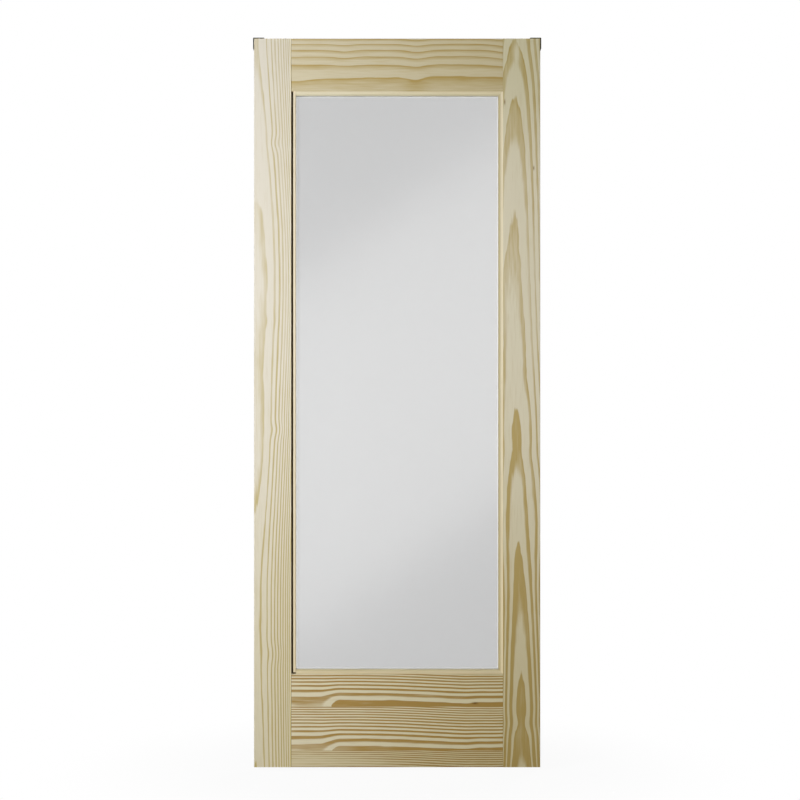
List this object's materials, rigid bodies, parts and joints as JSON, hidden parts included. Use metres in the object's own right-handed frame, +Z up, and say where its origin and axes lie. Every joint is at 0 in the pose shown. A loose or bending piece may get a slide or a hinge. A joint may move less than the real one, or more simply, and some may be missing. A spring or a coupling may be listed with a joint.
{
  "type": "barn door",
  "caption": "Sliding barn door leaf: a pine stile-and-rail frame around a tall lite of satin glass, held by glazing beads, with dark angles on its top corners and a guide groove below.",
  "frame": {"origin": "middle of the top edge, on the top rail's upper face", "axes": "+Z up, -Y out of the front face, +X to the right seen from the front"},
  "size_m": [0.8442, 0.035, 2.1366],
  "materials": {
    "left_stile_pine": "unfinished pine, straight grain, sanded",
    "right_stile_pine": "unfinished pine, plain-sawn with cathedral grain, sanded",
    "top_rail_pine": "unfinished pine, widely spaced grain, sanded",
    "bottom_rail_pine": "unfinished pine, closely lined grain, sanded",
    "bead_pine": "clear pale pine, sanded",
    "satin_glass": "satin-etched safety glass, pale neutral grey",
    "glazing_tape": "dark brown glazing tape",
    "guard_black": "black-painted steel angle, satin"
  },
  "bodies": {
    "root": {"left_stile": "left_stile_pine", "right_stile": "right_stile_pine", "top_rail": "top_rail_pine", "bottom_rail": "bottom_rail_pine", "glass_panel": "satin_glass", "front_tape": "glazing_tape", "back_tape": "glazing_tape", "front_bead_left": "bead_pine", "front_bead_right": "bead_pine", "front_bead_top": "bead_pine", "front_bead_bottom": "bead_pine", "back_bead_left": "bead_pine", "back_bead_right": "bead_pine", "back_bead_top": "bead_pine", "back_bead_bottom": "bead_pine", "corner_guard_left": "guard_black", "corner_guard_right": "guard_black"}
  },
  "joints": []
}
